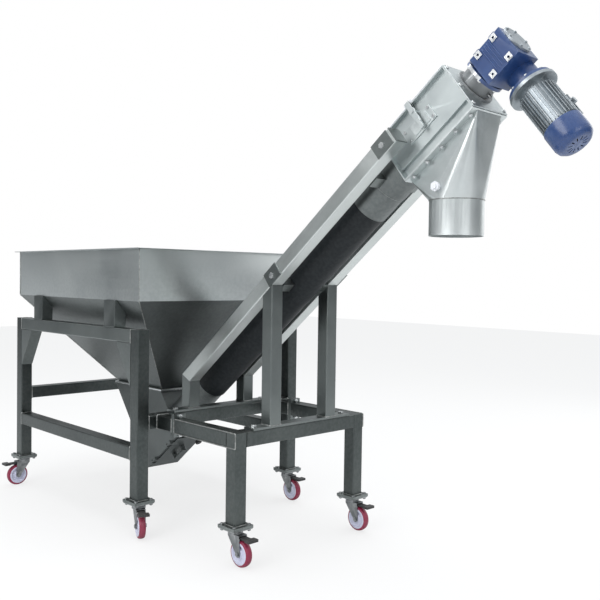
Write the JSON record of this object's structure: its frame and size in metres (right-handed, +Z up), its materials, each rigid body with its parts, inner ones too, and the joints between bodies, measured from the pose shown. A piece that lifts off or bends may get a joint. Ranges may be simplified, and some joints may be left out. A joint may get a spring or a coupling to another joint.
{
  "type": "mobile screw conveyor",
  "caption": "Mobile grain auger: a hopper on a frame with braked casters feeds an inclined tube screw that lifts grain to a spout pointing down, turned by a worm gearmotor.",
  "frame": {"origin": "floor level under the middle of the machine's outside box", "axes": "+Z up, the screw climbs towards -Y, the hopper stands at +Y, X across the machine"},
  "size_m": [1.104, 2.9771, 1.9636],
  "materials": {
    "frame_steel": "stainless square tube, satin ground",
    "sheet_steel": "stainless sheet, brushed",
    "zinc_hardware": "zinc-plated pressings and bolts",
    "screw_steel": "worn bright steel",
    "black_casing": "satin black sleeve",
    "cast_iron": "dark cast iron",
    "black_plastic": "black moulded plastic",
    "white_plastic": "white moulded plastic",
    "blue_paint": "blue enamel",
    "cast_aluminium": "die-cast aluminium, light grey",
    "caster_wheel": "red polyurethane tread on a white hub"
  },
  "bodies": {
    "frame": {"legs": "frame_steel", "foot_plates": "frame_steel", "caster_plates": "zinc_hardware", "caster_bolts": "zinc_hardware", "top_beams": "frame_steel", "corner_gussets": "frame_steel", "lower_rails": "frame_steel", "cart_beams": "frame_steel", "joint_flanges": "frame_steel", "foot_bars": "frame_steel", "conveyor_posts": "frame_steel", "conveyor_rails": "frame_steel", "rail_plates": "frame_steel", "frame_bolts": "zinc_hardware", "hopper_feet": "sheet_steel", "hopper_end_panels": "sheet_steel", "hopper_side_panels": "sheet_steel", "outlet_flange": "sheet_steel", "trough": "sheet_steel", "tail_bearing": "cast_iron", "steel_tubes": "sheet_steel", "casing_tube": "black_casing", "head_box": "sheet_steel", "inspection_plate": "sheet_steel", "head_end_plate": "sheet_steel", "discharge_spout": "sheet_steel", "head_bolts": "zinc_hardware", "level_sensor": "white_plastic", "drive_lantern": "cast_iron", "gearbox_housing": "blue_paint", "gearbox_cover": "cast_aluminium", "motor_frame": "cast_aluminium", "fan_cover": "blue_paint", "terminal_box": "cast_aluminium"},
    "screw": {"screw_shaft": "screw_steel", "screw_flight": "screw_steel"},
    "rotor": {"motor_rotor": "screw_steel", "cooling_fan": "black_plastic"},
    "head_cover": {"head_cover": "sheet_steel"},
    "cover_latch": {"cover_latch": "black_plastic"},
    "cleanout_door": {"cleanout_door": "sheet_steel"},
    "door_knob": {"door_knob": "black_plastic"},
    "swivel_cart_left": {"fork_cart_left": "zinc_hardware"},
    "wheel_cart_left": {"wheel_cart_left": "caster_wheel"},
    "pedal_cart_left": {"pedal_cart_left": "black_plastic"},
    "swivel_cart_right": {"fork_cart_right": "zinc_hardware"},
    "wheel_cart_right": {"wheel_cart_right": "caster_wheel"},
    "pedal_cart_right": {"pedal_cart_right": "black_plastic"},
    "swivel_hopper_front_left": {"fork_hopper_front_left": "zinc_hardware"},
    "wheel_hopper_front_left": {"wheel_hopper_front_left": "caster_wheel"},
    "pedal_hopper_front_left": {"pedal_hopper_front_left": "black_plastic"},
    "swivel_hopper_front_right": {"fork_hopper_front_right": "zinc_hardware"},
    "wheel_hopper_front_right": {"wheel_hopper_front_right": "caster_wheel"},
    "pedal_hopper_front_right": {"pedal_hopper_front_right": "black_plastic"},
    "swivel_hopper_rear_left": {"fork_hopper_rear_left": "zinc_hardware"},
    "wheel_hopper_rear_left": {"wheel_hopper_rear_left": "caster_wheel"},
    "pedal_hopper_rear_left": {"pedal_hopper_rear_left": "black_plastic"},
    "swivel_hopper_rear_right": {"fork_hopper_rear_right": "zinc_hardware"},
    "wheel_hopper_rear_right": {"wheel_hopper_rear_right": "caster_wheel"},
    "pedal_hopper_rear_right": {"pedal_hopper_rear_right": "black_plastic"}
  },
  "joints": [
    {"name": "screw_spin", "type": "hinge", "parent": "frame", "child": "screw", "pos_m": [0, 0.26886, 0.7], "axis": [0, -0.7793, 0.6266], "continuous": true},
    {"name": "rotor_spin", "type": "hinge", "parent": "frame", "child": "rotor", "pos_m": [0.05, -1.18851, 1.87175], "axis": [0, -0.6266, -0.7793], "continuous": true},
    {"name": "cover_hinge", "type": "hinge", "parent": "frame", "child": "head_cover", "pos_m": [0.111, -0.88537, 1.74607], "axis": [0, 0.7793, -0.6266], "range_deg": [0, 100]},
    {"name": "latch_pivot", "type": "hinge", "parent": "frame", "child": "cover_latch", "pos_m": [-0.1105, -0.90637, 1.71676], "axis": [1, 0, 0], "range_deg": [0, 90]},
    {"name": "door_hinge", "type": "hinge", "parent": "frame", "child": "cleanout_door", "pos_m": [-0.098, 0.63712, 0.25956], "axis": [0, 0.7793, -0.6266], "range_deg": [0, 90]},
    {"name": "knob_turn", "type": "hinge", "parent": "cleanout_door", "child": "door_knob", "pos_m": [0.068, 0.56606, 0.31091], "axis": [0, 0.6266, 0.7793], "continuous": true},
    {"name": "swivel_cart_left", "type": "hinge", "parent": "frame", "child": "swivel_cart_left", "pos_m": [-0.34, -0.24614, 0.144], "axis": [0, 0, 1], "continuous": true},
    {"name": "roll_cart_left", "type": "hinge", "parent": "swivel_cart_left", "child": "wheel_cart_left", "pos_m": [-0.34, -0.28414, 0.055], "axis": [1, 0, 0], "continuous": true},
    {"name": "brake_cart_left", "type": "hinge", "parent": "swivel_cart_left", "child": "pedal_cart_left", "pos_m": [-0.34, -0.28414, 0.118], "axis": [1, 0, 0], "range_deg": [0, 12]},
    {"name": "swivel_cart_right", "type": "hinge", "parent": "frame", "child": "swivel_cart_right", "pos_m": [0.34, -0.24614, 0.144], "axis": [0, 0, 1], "continuous": true},
    {"name": "roll_cart_right", "type": "hinge", "parent": "swivel_cart_right", "child": "wheel_cart_right", "pos_m": [0.34, -0.28414, 0.055], "axis": [1, 0, 0], "continuous": true},
    {"name": "brake_cart_right", "type": "hinge", "parent": "swivel_cart_right", "child": "pedal_cart_right", "pos_m": [0.34, -0.28414, 0.118], "axis": [1, 0, 0], "range_deg": [0, 12]},
    {"name": "swivel_hopper_front_left", "type": "hinge", "parent": "frame", "child": "swivel_hopper_front_left", "pos_m": [-0.44, 0.29886, 0.144], "axis": [0, 0, 1], "continuous": true},
    {"name": "roll_hopper_front_left", "type": "hinge", "parent": "swivel_hopper_front_left", "child": "wheel_hopper_front_left", "pos_m": [-0.453, 0.26315, 0.055], "axis": [0.9397, -0.342, 0], "continuous": true},
    {"name": "brake_hopper_front_left", "type": "hinge", "parent": "swivel_hopper_front_left", "child": "pedal_hopper_front_left", "pos_m": [-0.453, 0.26315, 0.118], "axis": [0.9397, -0.342, 0], "range_deg": [0, 12]},
    {"name": "swivel_hopper_front_right", "type": "hinge", "parent": "frame", "child": "swivel_hopper_front_right", "pos_m": [0.44, 0.29886, 0.144], "axis": [0, 0, 1], "continuous": true},
    {"name": "roll_hopper_front_right", "type": "hinge", "parent": "swivel_hopper_front_right", "child": "wheel_hopper_front_right", "pos_m": [0.44, 0.26086, 0.055], "axis": [1, 0, 0], "continuous": true},
    {"name": "brake_hopper_front_right", "type": "hinge", "parent": "swivel_hopper_front_right", "child": "pedal_hopper_front_right", "pos_m": [0.44, 0.26086, 0.118], "axis": [1, 0, 0], "range_deg": [0, 12]},
    {"name": "swivel_hopper_rear_left", "type": "hinge", "parent": "frame", "child": "swivel_hopper_rear_left", "pos_m": [-0.44, 1.44886, 0.144], "axis": [0, 0, 1], "continuous": true},
    {"name": "roll_hopper_rear_left", "type": "hinge", "parent": "swivel_hopper_rear_left", "child": "wheel_hopper_rear_left", "pos_m": [-0.478, 1.44886, 0.055], "axis": [0, -1, 0], "continuous": true},
    {"name": "brake_hopper_rear_left", "type": "hinge", "parent": "swivel_hopper_rear_left", "child": "pedal_hopper_rear_left", "pos_m": [-0.478, 1.44886, 0.118], "axis": [0, -1, 0], "range_deg": [0, 12]},
    {"name": "swivel_hopper_rear_right", "type": "hinge", "parent": "frame", "child": "swivel_hopper_rear_right", "pos_m": [0.44, 1.44886, 0.144], "axis": [0, 0, 1], "continuous": true},
    {"name": "roll_hopper_rear_right", "type": "hinge", "parent": "swivel_hopper_rear_right", "child": "wheel_hopper_rear_right", "pos_m": [0.478, 1.44886, 0.055], "axis": [0, 1, 0], "continuous": true},
    {"name": "brake_hopper_rear_right", "type": "hinge", "parent": "swivel_hopper_rear_right", "child": "pedal_hopper_rear_right", "pos_m": [0.478, 1.44886, 0.118], "axis": [0, 1, 0], "range_deg": [0, 12]}
  ],
  "couplings": [
    {"joint": "rotor_spin", "follows": "screw_spin", "ratio": 20}
  ]
}
